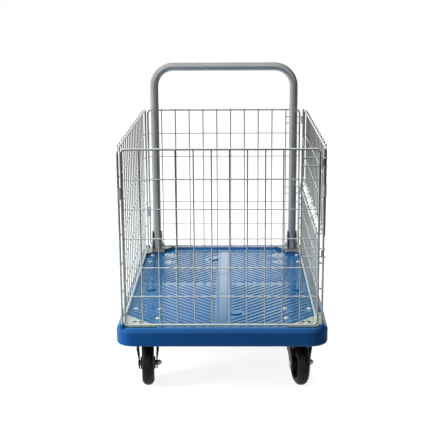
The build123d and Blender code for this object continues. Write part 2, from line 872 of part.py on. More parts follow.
def kingpin():
    """The swivel's pin, headed above the plate and below the fork's crown."""
    low_head = crown_top - fork_sheet - kingpin_gap
    pin = disc(0, 0, low_head, caster_height, kingpin_radius)
    pin += disc(0, 0, caster_height, caster_height + kingpin_head, kingpin_head_radius)
    lower = disc(0, 0, low_head - kingpin_head, low_head, kingpin_head_radius)
    return pin + chamfer(lower.edges().group_by(Axis.Z)[0], length=kingpin_chamfer)


def swivel_balls():
    z = plate_low - ball_gap - ball_radius
    step = 2 * math.pi / ball_count
    return [
        Pos(ball_circle * math.cos(i * step), ball_circle * math.sin(i * step), z) * Sphere(ball_radius)
        for i in range(ball_count)
    ]


def axle(trail):
    """The axle bolt with a low head on the left, its nut on the right and a sleeve between the legs."""
    at = Pos(0, -trail, wheel_radius)
    end = fork_axle_half + axle_nut + axle_tip
    bolt = rod((-fork_axle_half, -trail, wheel_radius), (end, -trail, wheel_radius), axle_radius)
    bolt += at * Pos(-fork_axle_half, 0, 0) * Rot(0, -90, 0) * dome_head(axle_head_radius, axle_head)
    nut = hex_nut(axle_nut_radius, axle_nut, axle_radius)
    nut = at * Pos(fork_axle_half, 0, 0) * Rot(0, 90, 0) * nut
    sleeve = Circle(sleeve_radius) - Circle(axle_radius)
    sleeve = extrude(sleeve, amount=fork_axle_half - fork_sheet, both=True)
    return [bolt, nut, at * Rot(0, 90, 0) * sleeve]


def tyre(trail):
    """The rubber tyre with its rounded tread."""
    half = wheel_width / 2
    shoulder = wheel_radius - tread_drop
    profile = make_face(
        [
            Line((-rim_width / 2, rim_radius), (rim_width / 2, rim_radius)),
            Line((rim_width / 2, rim_radius), (half, shoulder)),
            ThreePointArc((half, shoulder), (0, wheel_radius), (-half, shoulder)),
            Line((-half, shoulder), (-rim_width / 2, rim_radius)),
        ]
    )
    return Pos(0, -trail, wheel_radius) * revolve(profile, axis=Axis.X)


def hub(trail):
    """The wheel's plastic centre: rim, web with round pockets and a bored barrel."""
    rim = extrude(Circle(rim_radius) - Circle(rim_radius - rim_wall), amount=rim_width / 2, both=True)
    web = extrude(Circle(rim_radius - rim_wall / 2), amount=web_thickness / 2, both=True)
    middle = (hub_radius + rim_radius - rim_wall) / 2
    for i in range(pocket_count):
        turn = 2 * math.pi * i / pocket_count
        pocket = Pos(middle * math.cos(turn), middle * math.sin(turn)) * Circle(pocket_radius)
        web -= extrude(pocket, amount=web_thickness, both=True)
    barrel = extrude(Circle(hub_radius), amount=hub_length / 2, both=True)
    body = rim + web + barrel
    body -= extrude(Circle(sleeve_radius + running_gap), amount=hub_length, both=True)
    return Pos(0, -trail, wheel_radius) * Rot(0, 90, 0) * body


swivels = (("front_left", -1, left_caster_angle), ("front_right", 1, right_caster_angle))
for word, sx, angle in swivels:
    place = Pos(sx * caster_x, -caster_y, 0)
    turned = place * Rot(0, 0, angle)
    save(f"{word}_caster_plate", [place * swivel_plate()])
    save(f"{word}_kingpin", [place * kingpin()])
    save(f"{word}_swivel_balls", [turned * ball for ball in swivel_balls()])
    save(f"{word}_fork", [turned * swivel_fork()])
    save(f"{word}_axle", [turned * piece for piece in axle(caster_trail)])
    save(f"{word}_tyre", [turned * tyre(caster_trail)])
    save(f"{word}_hub", [turned * hub(caster_trail)])
for word, sx in (("rear_left", -1), ("rear_right", 1)):
    place = Pos(sx * caster_x, caster_y, 0)
    save(f"{word}_fork", [place * rigid_fork()])
    save(f"{word}_axle", [place * piece for piece in axle(0)])
    save(f"{word}_tyre", [place * tyre(0)])
    save(f"{word}_hub", [place * hub(0)])
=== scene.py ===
"""A folding platform cart with a wire cage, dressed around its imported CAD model."""

import math

import bmesh
import bpy
from mathutils import Matrix, Vector


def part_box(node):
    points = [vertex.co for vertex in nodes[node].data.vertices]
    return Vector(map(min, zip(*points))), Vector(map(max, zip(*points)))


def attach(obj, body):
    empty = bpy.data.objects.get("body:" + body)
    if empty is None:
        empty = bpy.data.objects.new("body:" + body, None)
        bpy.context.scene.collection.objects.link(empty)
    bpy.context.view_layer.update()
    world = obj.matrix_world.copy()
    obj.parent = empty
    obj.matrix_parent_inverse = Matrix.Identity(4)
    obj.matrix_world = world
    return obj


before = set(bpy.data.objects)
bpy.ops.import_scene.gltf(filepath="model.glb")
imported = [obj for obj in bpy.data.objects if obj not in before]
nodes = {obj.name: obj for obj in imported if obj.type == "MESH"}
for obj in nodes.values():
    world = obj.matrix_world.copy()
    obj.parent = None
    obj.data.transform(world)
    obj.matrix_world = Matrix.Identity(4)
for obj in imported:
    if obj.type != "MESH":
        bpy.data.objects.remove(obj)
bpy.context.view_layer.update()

# All sizes are in metres, in the frame of the CAD model.

# Tread of the deck: slanted ridges on the tray's floor and a flat strip along its middle
TRAY_FLOOR = 0.207
TRAY_HALF_X = 0.277
TRAY_HALF_Y = 0.424
# The tray's cut corners lie where the sizes of x and y add up to this
TRAY_CORNER = 0.610
TRAY_MARGIN = 0.008
STRIP_HALF = 0.0135
STRIP_FRONT = -0.405
STRIP_BACK = 0.410
STRIP_HEIGHT = 0.0009
RIDGE_PITCH = 0.027
RIDGE_HALF = 0.0055
RIDGE_HEIGHT = 0.0014
RIDGE_GAP = 0.004
CROSS_GAP = 0.006
SHORTEST_RIDGE = 0.02
SAMPLE_STEP = 0.001
# How deep the foot of a piece is sunk into what it sits on
SUNK = 0.0003
# Shares of a ridge's half width and height, from its foot to its crest
RIDGE_CROWN = ((1.0, 0.0), (0.85, 0.75), (0.65, 0.95), (0.3, 0.99))
# Shares of a flat bar's height, inward from its edge and up
BAR_EDGE = ((0.0, 0.0), (0.3, 0.7), (1.0, 1.0), (2.0, 1.0))
# The tapered end of a bar, in half widths, and the shares of its length, width and height on the way
TAPER_LENGTH = 2.2
TAPER_STEPS = ((0.0, 0.35, 0.05), (0.35, 0.75, 0.6), (1.0, 1.0, 1.0))
BUTTON_CLEARANCE = 0.022
BOLT_CLEARANCE = 0.012
BUTTONS = ((-0.038, 0.290), (0.040, -0.293), (-0.230, -0.060), (0.230, -0.060))

# Tyres, with a round tread, ribs round it and a ring on each side wall
TYRE_RADIUS = 0.065
TREAD_ROUND = 0.01857
SIDE_RING_RADIUS = 0.0495
SIDE_RING_PLACE = 0.0165
RIB_PLACES = (-0.0115, -0.0065, 0.0065, 0.0115)
RIB_HALF = 0.0011
RIB_HEIGHT = 0.0006
RIB_SHOULDER = 0.6
RIB_SHOULDER_RISE = 0.8
SIDE_RING_SLOPE = 0.707
RING_STEPS = 96
# How far each wheel is turned at rest, in degrees
WHEEL_TURNS = {"front_left": 5.0, "front_right": 10.0, "rear_left": 0.0, "rear_right": 0.0}

# Welds of the wire mesh
WELD_RADIUS = 0.0023
# Shares of a weld's radius along the axes, and through its panel
WELD_STRETCH = (1.15, 1.15, 0.95)
WELD_DEPTH = 0.8
# Points that are further apart belong to different wires or bolts
GROUP_GAP = 0.01
# Each panel with the axis that its rails run along and its body
PANELS = (
    ("gate", 0, "gate"),
    ("back", 0, "back_panel"),
    ("left", 1, "chassis"),
    ("lower", 1, "chassis"),
    ("flap", 1, "side_flap"),
)

# Camera
IMAGE_SIZE = 447
FOCAL_PIXELS = 972.65
SENSOR = 36.0
CAMERA_PLACE = (0.0363, -3.0118, 1.1465)
CAMERA_PITCH = 13.854
CAMERA_YAW = 0.675
CAMERA_ROLL = -0.255
SHIFT_PIXELS = 1.07
CAMERA_REACH = 100.0

# Lamps
TOP_LAMP = {
    "place": (0.0, 0.3, 3.2),
    "target": (0.0, 0.0, 0.3),
    "width": 2.6,
    "height": 2.6,
    "power": 90.0,
}
LEFT_LAMP = {
    "place": (-1.75, -0.95, 0.95),
    "target": (0.0, -0.2, 0.3),
    "width": 0.45,
    "height": 1.3,
    "power": 44.0,
}
AMBIENT = 0.10

# Floor as the camera sees it, which glows up to white from near the cart to far away
FLOOR_HALF = 14.0
FLOOR_GREY = 0.42
FLOOR_GLOW = 0.89
GLOW_FADE = (0.7, 2.2)

# Floor as reflections see it: a fade is the stretch over which a level changes
FLOOR_DARK = 0.04
FLOOR_FADE = (-1.2, 0.5)
FLOOR_RIGHT = 0.2
FLOOR_RIGHT_FADE = (0.25, 0.8)
FLOOR_LEFT = 0.75
FLOOR_LEFT_FADE = (-0.85, -0.5)
FLOOR_LEFT_START = (1.0, 2.0)

# Room as reflections see it: levels of its sides, and fades along the parts of a direction
ROOM_LEFT = 0.70
ROOM_RIGHT = 0.04
ROOM_SIDE_FADE = (-0.8, 0.4)
ROOM_FRONT = 0.25
ROOM_FRONT_FADE = (-0.95, -0.2)
ROOM_BACK = 0.35
ROOM_BACK_FADE = (0.5, 0.9)
ROOM_TOP = 0.25
ROOM_TOP_FADE = (0.5, 0.9)
FRONT_TOP = 0.55
FRONT_TOP_DEPTH = (-0.8, -0.4)
FRONT_TOP_FADE = (-0.08, 0.12)
BACKDROP_LEVEL = 1.0
BACKDROP_DEPTH = (0.75, 0.9)
BACKDROP_FADE = (0.18, 0.25)
CARD_LEVEL = 1.0
CARD_MIDDLE = -0.012
CARD_SIDE_FADE = (0.064, 0.076)
CARD_TOP_FADE = (0.27, 0.39)
LEAST_DEPTH = 0.001


# Materials

SIDE_BLUE = ((0.0010, 0.080, 0.290), (0.0014, 0.090, 0.320))
# Paler blue painted on faces that look up, as a sheen of light on the deck and tread
LIT_TOP_BLUE = ((0.0040, 0.155, 0.355), (0.0060, 0.172, 0.385))
# A paler blue still, painted on the strip's top as a sheen of light
LIT_STRIP_BLUE = ((0.050, 0.200, 0.390), (0.060, 0.218, 0.420))
SCUFF_BLUE = (0.05, 0.20, 0.46)
COAT_ROUGHNESS = 0.04
# Rails that take a copy of the cage wire's finish painted lighter, as lit from above
SIDE_RAILS = ("left_rails", "lower_rails", "flap_rails")
RANGE_SOCKETS = ("From Min", "From Max", "To Min", "To Max")
FULL_RANGE = (0.0, 1.0)


def feed(tree, socket, value):
    """Give a socket a number, a colour or the result of another node."""
    if isinstance(value, bpy.types.NodeSocket):
        tree.links.new(value, socket)
    else:
        socket.default_value = value


def math_node(tree, operation, *values):
    """The result of one operation on numbers or other results."""
    node = tree.nodes.new("ShaderNodeMath")
    node.operation = operation
    for socket, value in zip(node.inputs, values):
        feed(tree, socket, value)
    return node.outputs["Value"]


def change_range(tree, value, source, target, way):
    """A value carried from one range to another, evenly or smoothly, and held at its ends."""
    node = tree.nodes.new("ShaderNodeMapRange")
    node.interpolation_type = way
    for socket, number in zip(RANGE_SOCKETS, (*source, *target)):
        node.inputs[socket].default_value = number
    tree.links.new(value, node.inputs["Value"])
    return node.outputs["Result"]


def split_vector(tree, vector):
    """The X, Y and Z parts of a place or direction."""
    split = tree.nodes.new("ShaderNodeSeparateXYZ")
    tree.links.new(vector, split.inputs["Vector"])
    return split.outputs["X"], split.outputs["Y"], split.outputs["Z"]


class Finish:
    """One Principled material, with colour, roughness and relief from noise in the part's own frame."""

    def __init__(self, name, metallic=0.0, specular=0.5):
        self.material = bpy.data.materials.new(name)
        self.material.use_nodes = True
        self.tree = self.material.node_tree
        self.shader = self.tree.nodes["Principled BSDF"]
        self.shader.inputs["Metallic"].default_value = metallic
        self.shader.inputs["Specular IOR Level"].default_value = specular
        coords = self.tree.nodes.new("ShaderNodeTexCoord")
        self.place = coords.outputs["Object"]
        self.facing = coords.outputs["Normal"]

    def noise(self, scale, detail=3.0, stretch=(1.0, 1.0, 1.0)):
        """A noise value from 0 to 1, stretched along the axes."""
        mapping = self.tree.nodes.new("ShaderNodeMapping")
        mapping.inputs["Scale"].default_value = stretch
        texture = self.tree.nodes.new("ShaderNodeTexNoise")
        texture.inputs["Scale"].default_value = scale
        texture.inputs["Detail"].default_value = detail
        self.tree.links.new(self.place, mapping.inputs["Vector"])
        self.tree.links.new(mapping.outputs["Vector"], texture.inputs["Vector"])
        return texture.outputs["Fac"]

    def cells(self, scale):
        """A random value for each crystal of a zinc coat."""
        texture = self.tree.nodes.new("ShaderNodeTexVoronoi")
        texture.inputs["Scale"].default_value = scale
        self.tree.links.new(self.place, texture.inputs["Vector"])
        split = self.tree.nodes.new("ShaderNodeSeparateColor")
        self.tree.links.new(texture.outputs["Color"], split.inputs["Color"])
        return split.outputs["Red"]

    def height(self):
        """The height above the floor in the part's rest pose."""
        return split_vector(self.tree, self.place)[2]

    def upward(self, low=0.3, high=0.8):
        """1 on a face that looks up and 0 on an upright one."""
        return self.span(split_vector(self.tree, self.facing)[2], (low, high))

    def span(self, value, source, target=FULL_RANGE):
        """A value carried evenly from one range to another, and held at its ends."""
        return change_range(self.tree, value, source, target, "LINEAR")

    def mix(self, factor, first, second):
        """A colour between two colours, which are numbers or other colours."""
        node = self.tree.nodes.new("ShaderNodeMix")
        node.data_type = "RGBA"
        self.tree.links.new(factor, node.inputs["Factor"])
        # The sockets for colours come after those for numbers and vectors, under the same names.
        for socket, colour in ((node.inputs[6], first), (node.inputs[7], second)):
            feed(self.tree, socket, (*colour, 1.0) if isinstance(colour, tuple) else colour)
        return node.outputs[2]

    def dress(self, colour, roughness, relief, depth):
        """Connect the colour, the roughness and the relief, whose depth is in metres."""
        bump = self.tree.nodes.new("ShaderNodeBump")
        bump.inputs["Distance"].default_value = depth
        self.tree.links.new(relief, bump.inputs["Height"])
        self.tree.links.new(bump.outputs["Normal"], self.shader.inputs["Normal"])
        self.tree.links.new(colour, self.shader.inputs["Base Color"])
        self.tree.links.new(roughness, self.shader.inputs["Roughness"])
        return self.material


def blue_plastic(name, roughness, specular=0.5, top_polish=0.0, wear_and_sheen=LIT_TOP_BLUE):
    """Moulded polypropylene with a soft grain, a polished top with a painted sheen that makes it paler,
    and pale scuffs along the deck.
    """
    finish = Finish(name, specular=specular)
    finish.shader.inputs["Coat Roughness"].default_value = COAT_ROUGHNESS
    level = finish.upward(0.9, 1.0)
    finish.tree.links.new(level, finish.shader.inputs["Coat Weight"])
    tone = finish.span(finish.noise(4.0), (0.35, 0.65))
    # Painted sheen: faces that look up take the paler blue in place of the side blue.
    colour = finish.mix(level, finish.mix(tone, *SIDE_BLUE), finish.mix(tone, *wear_and_sheen))
    streaks = finish.noise(55.0, detail=6.0, stretch=(1.0, 0.09, 1.0))
    scuff = finish.span(streaks, (0.62, 0.80), (0.0, 0.05))
    colour = finish.mix(scuff, colour, SCUFF_BLUE)
    rough = finish.span(finish.noise(28.0, detail=5.0), (0.3, 0.7), roughness)
    polish = finish.span(finish.upward(), FULL_RANGE, (0.0, -top_polish))
    rough = math_node(finish.tree, "ADD", rough, polish)
    rough = math_node(finish.tree, "ADD", rough, scuff)
    return finish.dress(colour, rough, finish.noise(1500.0, detail=2.0), depth=0.00001)


def zinc_wire():
    """Zinc plate with a faint green cast and dark spots, with painted shade that darkens it high up and a
    painted highlight that makes faces that look up pale.
    """
    finish = Finish("cage_wire_finish", metallic=0.4)
    patch = finish.span(finish.noise(14.0, detail=4.0), (0.35, 0.65))
    colour = finish.mix(patch, (0.55, 0.61, 0.58), (0.65, 0.71, 0.68))
    # Painted shade: the wire's colour darkens towards the top of the cage.
    painted_shade_high_up = finish.span(finish.height(), (0.38, 0.62))
    colour = finish.mix(painted_shade_high_up, colour, (0.205, 0.215, 0.208))
    # Painted highlight: faces that look up turn pale, as if lit from above.
    colour = finish.mix(finish.upward(0.1, 0.6), colour, (0.82, 0.88, 0.85))
    spot = finish.span(finish.noise(160.0, detail=5.0), (0.64, 0.78), (0.0, 0.35))
    colour = finish.mix(spot, colour, (0.34, 0.37, 0.35))
    streaks = finish.noise(60.0, detail=4.0, stretch=(1.0, 1.0, 0.2))
    rough = finish.span(streaks, (0.3, 0.7), (0.30, 0.42))
    return finish.dress(colour, rough, finish.noise(500.0), depth=0.000006)


def painted_light_zinc_wire():
    """A paler, more metallic copy of the cage wire's zinc, painted light on the level wires along the
    cart's sides.
    """
    finish = Finish("side_rail_painted_light_finish", metallic=0.85)
    patch = finish.span(finish.noise(14.0, detail=4.0), (0.35, 0.65))
    colour = finish.mix(patch, (0.86, 0.91, 0.89), (0.93, 0.96, 0.95))
    spot = finish.span(finish.noise(160.0, detail=5.0), (0.68, 0.82), (0.0, 0.25))
    colour = finish.mix(spot, colour, (0.45, 0.48, 0.46))
    streaks = finish.noise(60.0, detail=4.0, stretch=(1.0, 0.2, 1.0))
    rough = finish.span(streaks, (0.3, 0.7), (0.16, 0.26))
    return finish.dress(colour, rough, finish.noise(500.0), depth=0.000006)


def satin_tube():
    """Satin plated tube with fine polishing marks along its length."""
    finish = Finish("handle_steel_finish", metallic=0.75)
    patch = finish.span(finish.noise(9.0, detail=4.0), (0.3, 0.7))
    colour = finish.mix(patch, (0.50, 0.50, 0.50), (0.55, 0.55, 0.55))
    marks = finish.noise(90.0, detail=6.0, stretch=(1.0, 1.0, 0.06))
    colour = finish.mix(finish.span(marks, (0.62, 0.78), (0.0, 0.18)), colour, (0.38, 0.38, 0.38))
    streaks = finish.noise(60.0, detail=4.0, stretch=(1.0, 1.0, 0.05))
    rough = finish.span(streaks, (0.3, 0.7), (0.29, 0.34))
    scratches = finish.noise(400.0, stretch=(1.0, 1.0, 0.08))
    return finish.dress(colour, rough, scratches, depth=0.000004)


def spangled_zinc(name, pale, dark, fineness, metallic, shaded_walls=False):
    """Galvanised sheet with the crystals of its zinc coat, and on a flat plate painted shade, near black,
    on every face that doesn't look up, such as its edges and the walls of its slots.
    """
    finish = Finish(name, metallic=metallic)
    crystal = finish.cells(fineness)
    colour = finish.mix(crystal, dark, pale)
    stain = finish.span(finish.noise(45.0, detail=5.0), (0.58, 0.74), (0.0, 0.5))
    colour = finish.mix(stain, colour, (0.33, 0.36, 0.34))
    if shaded_walls:
        # Painted shade: faces that don't look up turn near black.
        colour = finish.mix(finish.upward(), (0.035, 0.045, 0.04), colour)
    rough = finish.span(crystal, FULL_RANGE, (0.26, 0.44))
    return finish.dress(colour, rough, finish.noise(500.0, detail=4.0), depth=0.00001)


def dark_coat(name, deep, wear_and_sheen, roughness, grain=420.0):
    """Painted or moulded dark surface with patches of wear and a fine grain."""
    finish = Finish(name)
    wear = finish.span(finish.noise(38.0, detail=6.0), (0.5, 0.72))
    colour = finish.mix(wear, deep, wear_and_sheen)
    rough = finish.span(finish.noise(70.0, detail=4.0), (0.3, 0.7), roughness)
    return finish.dress(colour, rough, finish.noise(grain, detail=4.0), depth=0.00003)


deck_blue = blue_plastic("deck_plastic_finish", roughness=(0.17, 0.23), top_polish=0.12)
ridge_blue = blue_plastic("deck_tread_finish", roughness=(0.03, 0.06), specular=0.9)
# The strip's top has a painted sheen, paler than the rest of the deck.
strip_blue = blue_plastic("deck_strip_finish", roughness=(0.03, 0.06), specular=1.0, wear_and_sheen=LIT_STRIP_BLUE)
plate_zinc = spangled_zinc(
    "plate_zinc_finish",
    pale=(0.74, 0.80, 0.72),
    dark=(0.60, 0.66, 0.58),
    fineness=190.0,
    metallic=0.35,
    shaded_walls=True,
)
bolt_zinc = spangled_zinc(
    "bolt_zinc_finish",
    pale=(0.88, 0.89, 0.88),
    dark=(0.72, 0.73, 0.72),
    fineness=420.0,
    metallic=0.45,
)
bracket_steel = spangled_zinc(
    "bracket_finish",
    pale=(0.46, 0.47, 0.47),
    dark=(0.36, 0.37, 0.37),
    fineness=260.0,
    metallic=0.8,
)
spring_steel = spangled_zinc(
    "spring_finish",
    pale=(0.66, 0.70, 0.67),
    dark=(0.54, 0.58, 0.55),
    fineness=300.0,
    metallic=0.5,
)
plug_plastic = dark_coat(
    "plug_finish",
    deep=(0.012, 0.012, 0.013),
    wear_and_sheen=(0.03, 0.03, 0.03),
    roughness=(0.4, 0.55),
)
caster_black = dark_coat(
    "caster_finish",
    deep=(0.005, 0.005, 0.005),
    wear_and_sheen=(0.012, 0.012, 0.012),
    roughness=(0.36, 0.5),
)
tyre_rubber = dark_coat(
    "tyre_finish",
    deep=(0.003, 0.003, 0.003),
    wear_and_sheen=(0.009, 0.009, 0.0085),
    roughness=(0.40, 0.52),
    grain=650.0,
)
hub_plastic = dark_coat(
    "hub_finish",
    deep=(0.006, 0.006, 0.006),
    wear_and_sheen=(0.014, 0.014, 0.014),
    roughness=(0.4, 0.52),
)
cage_wire = zinc_wire()
# The side rails' finish: the cage wire's zinc painted lighter, as lit from above.
painted_light_rail_wire = painted_light_zinc_wire()
finishes = {
    "deck_plastic": deck_blue,
    "plate_zinc": plate_zinc,
    "bolt_zinc": bolt_zinc,
    "handle_steel": satin_tube(),
    "bracket_steel": bracket_steel,
    "plug_plastic": plug_plastic,
    "spring_steel": spring_steel,
    "cage_wire": cage_wire,
    "caster_black": caster_black,
    "tyre_rubber": tyre_rubber,
    "hub_plastic": hub_plastic,
}
for name, node in nodes.items():
    slot_name = node.data.materials[0].name
    node.data.materials[0] = painted_light_rail_wire if name in SIDE_RAILS else finishes[slot_name]


# Shapes

def new_piece(name, mesh_builder, body, material):
    """Make a mesh object from a bmesh and let it ride on a body."""
    mesh = bpy.data.meshes.new(name)
    mesh_builder.normal_update()
    mesh_builder.to_mesh(mesh)
    mesh_builder.free()
    for face in mesh.polygons:
        face.use_smooth = True
    mesh.materials.append(material)
    piece = bpy.data.objects.new(name, mesh)
    bpy.context.scene.collection.objects.link(piece)
    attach(piece, body)


def add_loft(builder, rings, closed):
    """Skin a row of point rings. A row that isn't closed gets a face at each end."""
    rows = [[builder.verts.new(point) for point in ring] for ring in rings]
    count = len(rows[0])
    pairs = list(zip(rows, rows[1:]))
    if closed:
        pairs.append((rows[-1], rows[0]))
    for first, second in pairs:
        for i in range(count):
            j = (i + 1) % count
            builder.faces.new((first[i], first[j], second[j], second[i]))
    if not closed:
        builder.faces.new(list(reversed(rows[0])))
        builder.faces.new(rows[-1])


def crowned_section(half, height):
    """Offsets and heights across a ridge with a broad, slightly crowned top and its foot sunk in."""
    rise = [(-half, -SUNK)] + [(-half * share, height * lift) for share, lift in RIDGE_CROWN]
    return rise + [(0.0, height)] + [(-x, z) for x, z in reversed(rise)]


def flat_section(half, height):
    """Offsets and heights across a flat bar with rounded edges and its foot sunk in."""
    rise = [(-half, -SUNK)] + [(-half + height * inward, height * lift) for inward, lift in BAR_EDGE]
    return rise + [(-x, z) for x, z in reversed(rise)]


def add_bar(builder, start, end, section, half, height):
    """A bar on the tray's floor that tapers into it at both ends."""
    start, end = Vector(start), Vector(end)
    along = (end - start).normalized()
    across = Vector((along.y, -along.x))
    length = (end - start).length
    taper = TAPER_LENGTH * half
    places = [(taper * step, wide, tall) for step, wide, tall in TAPER_STEPS]
    places += [(length - distance, wide, tall) for distance, wide, tall in reversed(places)]
    rings = []
    for distance, width_share, height_share in places:
        middle = start + along * distance
        ring = []
        for offset, rise in section(half * width_share, height * height_share):
            at = middle + across * offset
            ring.append((at.x, at.y, TRAY_FLOOR + rise))
        rings.append(ring)
    add_loft(builder, rings, False)


def clusters(node, axis):
    """The middle of each group of a node's points along an axis."""
    values = sorted(vertex.co[axis] for vertex in nodes[node].data.vertices)
    groups = [[values[0], values[0]]]
    for value in values[1:]:
        if value - groups[-1][1] > GROUP_GAP:
            groups.append([value, value])
        groups[-1][1] = value
    return [(low + high) / 2 for low, high in groups]


def bolt_heads():
    """The places of the caster bolts on the tray's floor."""
    xs = clusters("caster_bolts", 0)
    ys = clusters("caster_bolts", 1)
    return [(x, y) for x in xs for y in ys]


BRACKETS = [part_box("handle_bracket_left"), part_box("handle_bracket_right")]
BOLTS = bolt_heads()


def ridge_allowed(x, y):
    """True where a tread ridge fits clear of the tray's walls, strip, brackets, buttons and bolts."""
    reach = RIDGE_HALF + TRAY_MARGIN
    if abs(x) > TRAY_HALF_X - reach or abs(y) > TRAY_HALF_Y - reach:
        return False
    if abs(x) + abs(y) > TRAY_CORNER - reach * math.sqrt(2):
        return False
    if abs(x) < STRIP_HALF + RIDGE_GAP + RIDGE_HALF or abs(y) < CROSS_GAP + RIDGE_HALF:
        return False
    for low, high in BRACKETS:
        if low.x - reach < x < high.x + reach and y > low.y - reach:
            return False
    if any(math.hypot(x - bx, y - by) < BUTTON_CLEARANCE + RIDGE_HALF for bx, by in BUTTONS):
        return False
    return all(math.hypot(x - bx, y - by) > BOLT_CLEARANCE + RIDGE_HALF for bx, by in BOLTS)


def ridge_runs(sign_x, sign_y, reach):
    """The free stretches of one slanted line of the tread, in the tray's quarter with these signs."""
    runs = []
    run = []
    for i in range(int(reach / SAMPLE_STEP) + 1):
        x = i * SAMPLE_STEP
        point = (sign_x * x, sign_y * (reach - x))
        if ridge_allowed(*point):
            run.append(point)
        elif run:
            runs.append(run)
            run = []
    if run:
        runs.append(run)
    shortest = SHORTEST_RIDGE / math.sqrt(2)
    return [(run[0], run[-1]) for run in runs if len(run) * SAMPLE_STEP > shortest]


def build_tread():
    """Rounded ridges that lie as nested diamonds round the middle of the tray."""
    builder = bmesh.new()
    count = int(TRAY_CORNER / RIDGE_PITCH)
    for sign_x in (-1, 1):
        for sign_y in (-1, 1):
            for i in range(1, count + 1):
                for start, end in ridge_runs(sign_x, sign_y, i * RIDGE_PITCH):
                    add_bar(builder, start, end, crowned_section, RIDGE_HALF, RIDGE_HEIGHT)
    bmesh.ops.recalc_face_normals(builder, faces=builder.faces)
    new_piece("deck_tread", builder, "chassis", ridge_blue)


def build_strip():
    """The smooth flat strip along the middle of the tray."""
    builder = bmesh.new()
    add_bar(builder, (0.0, STRIP_FRONT), (0.0, STRIP_BACK), flat_section, STRIP_HALF, STRIP_HEIGHT)
    bmesh.ops.recalc_face_normals(builder, faces=builder.faces)
    new_piece("deck_strip", builder, "chassis", strip_blue)


def add_ring(builder, centre, axle, place, radius, outward):
    """A low rounded ring round a wheel, at a place along its axle."""
    side = axle.cross(Vector((0.0, 0.0, 1.0))).normalized()
    up = side.cross(axle)
    inward = (-outward[0], -outward[1])
    tangent = (-outward[1], outward[0])
    section = [
        (RIB_HALF, inward, SUNK),
        (RIB_HALF, outward, 0.0),
        (RIB_HALF * RIB_SHOULDER, outward, RIB_HEIGHT * RIB_SHOULDER_RISE),
        (0.0, outward, RIB_HEIGHT),
        (-RIB_HALF * RIB_SHOULDER, outward, RIB_HEIGHT * RIB_SHOULDER_RISE),
        (-RIB_HALF, outward, 0.0),
        (-RIB_HALF, inward, SUNK),
    ]
    rings = []
    for step in range(RING_STEPS):
        turn = 2.0 * math.pi * step / RING_STEPS
        spoke = side * math.cos(turn) + up * math.sin(turn)
        ring = []
        for slide, direction, rise in section:
            along = place + tangent[0] * slide + direction[0] * rise
            away = radius + tangent[1] * slide + direction[1] * rise
            ring.append(centre + axle * along + spoke * away)
        rings.append(ring)
    add_loft(builder, rings, True)


def build_tyre_rings(wheel, turn):
    """The ribs of a tyre's tread and a ring on each side wall."""
    low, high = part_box(f"{wheel}_tyre")
    centre = (low + high) / 2
    axle = Vector((math.cos(math.radians(turn)), math.sin(math.radians(turn)), 0.0))
    builder = bmesh.new()
    for place in RIB_PLACES:
        rise = math.sqrt(TREAD_ROUND ** 2 - place ** 2)
        radius = TYRE_RADIUS - TREAD_ROUND + rise
        add_ring(builder, centre, axle, place, radius, (place / TREAD_ROUND, rise / TREAD_ROUND))
    for side in (-1, 1):
        outward = (side * SIDE_RING_SLOPE, -SIDE_RING_SLOPE)
        add_ring(builder, centre, axle, side * SIDE_RING_PLACE, SIDE_RING_RADIUS, outward)
    bmesh.ops.recalc_face_normals(builder, faces=builder.faces)
    name = f"{wheel}_tyre_rings"
    new_piece(name, builder, f"{wheel}_wheel", tyre_rubber)


def build_welds(panel, across, body):
    """A small weld where each upright of a panel crosses each of its rails."""
    facing = 1 - across
    depth = sum(clusters(f"{panel}_{part}", facing)[0] for part in ("uprights", "rails")) / 2
    builder = bmesh.new()
    for along in clusters(f"{panel}_uprights", across):
        for height in clusters(f"{panel}_rails", 2):
            place = Vector((0.0, 0.0, height))
            place[across] = along
            place[facing] = depth
            stretch = Vector(WELD_STRETCH)
            stretch[facing] = WELD_DEPTH
            matrix = Matrix.Translation(place) @ Matrix.Diagonal((*stretch, 1.0))
            bmesh.ops.create_icosphere(builder, subdivisions=2, radius=WELD_RADIUS, matrix=matrix)
    new_piece(f"{panel}_welds", builder, body, cage_wire)


build_tread()
build_strip()
for wheel, turn in WHEEL_TURNS.items():
    build_tyre_rings(wheel, turn)
for panel, across, body in PANELS:
    build_welds(panel, across, body)


# Studio

def times(tree, first, second):
    """The product of two values."""
    return math_node(tree, "MULTIPLY", first, second)


def ramp(tree, value, fade, first, last):
    """A smooth change from a first level to a last level, from one end of a fade to the other."""
    return change_range(tree, value, fade, (first, last), "SMOOTHSTEP")


def own_place(tree, output):
    """The X, Y and Z parts of a texture coordinate."""
    coords = tree.nodes.new("ShaderNodeTexCoord")
    return split_vector(tree, coords.outputs[output])


def choose(tree, factor, first, second):
    """One value where the factor is 0 and another where it is 1."""
    node = tree.nodes.new("ShaderNodeMix")
    tree.links.new(factor, node.inputs["Factor"])
    # The sockets for numbers come before those for vectors and colours, under the same names.
    feed(tree, node.inputs[2], first)
    feed(tree, node.inputs[3], second)
    return node.outputs[0]


def mirror_rays(tree, rays):
    """1 for a ray that a glossy or clear surface sends out."""
    glossy = rays.outputs["Is Glossy Ray"]
    clear = rays.outputs["Is Transmission Ray"]
    return math_node(tree, "MAXIMUM", glossy, clear)


